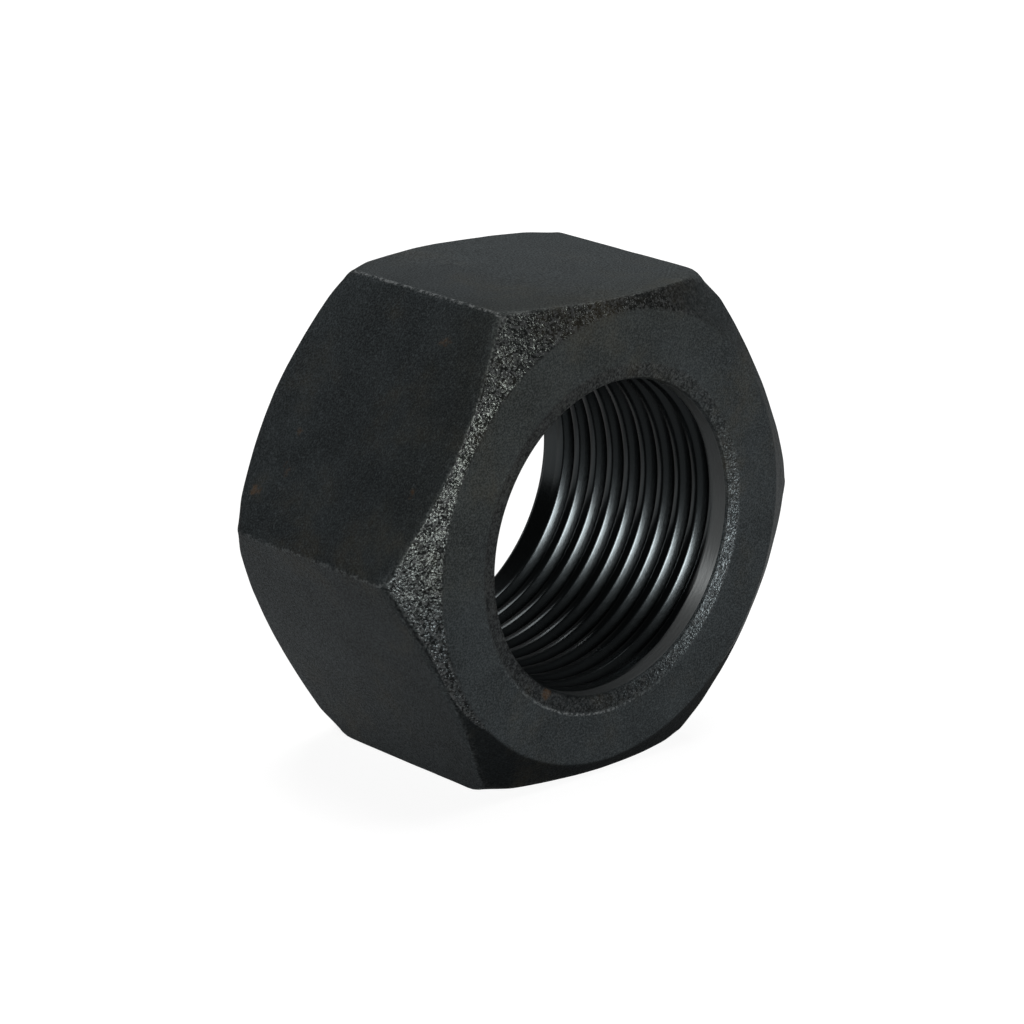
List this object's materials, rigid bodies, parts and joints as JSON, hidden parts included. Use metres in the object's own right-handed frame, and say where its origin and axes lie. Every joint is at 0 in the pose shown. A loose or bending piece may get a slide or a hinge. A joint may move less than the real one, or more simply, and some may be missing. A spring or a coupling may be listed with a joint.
{
  "type": "disc harrow shaft nut",
  "caption": "Heavy hexagon nut with a fine right-hand thread, chamfered at both ends, dark and lightly rusted.",
  "frame": {"origin": "middle of the threaded hole, halfway along the nut", "axes": "+Y along the thread's axis, from the bearing end to the back; +Z normal to the top flat; +X to the right when looking at the bearing end"},
  "size_m": [0.069, 0.034, 0.06],
  "materials": {
    "blackened_steel": "matt black oxide, forged grain on the chamfers, light rust spots"
  },
  "bodies": {
    "root": {"nut": "blackened_steel"}
  },
  "joints": []
}
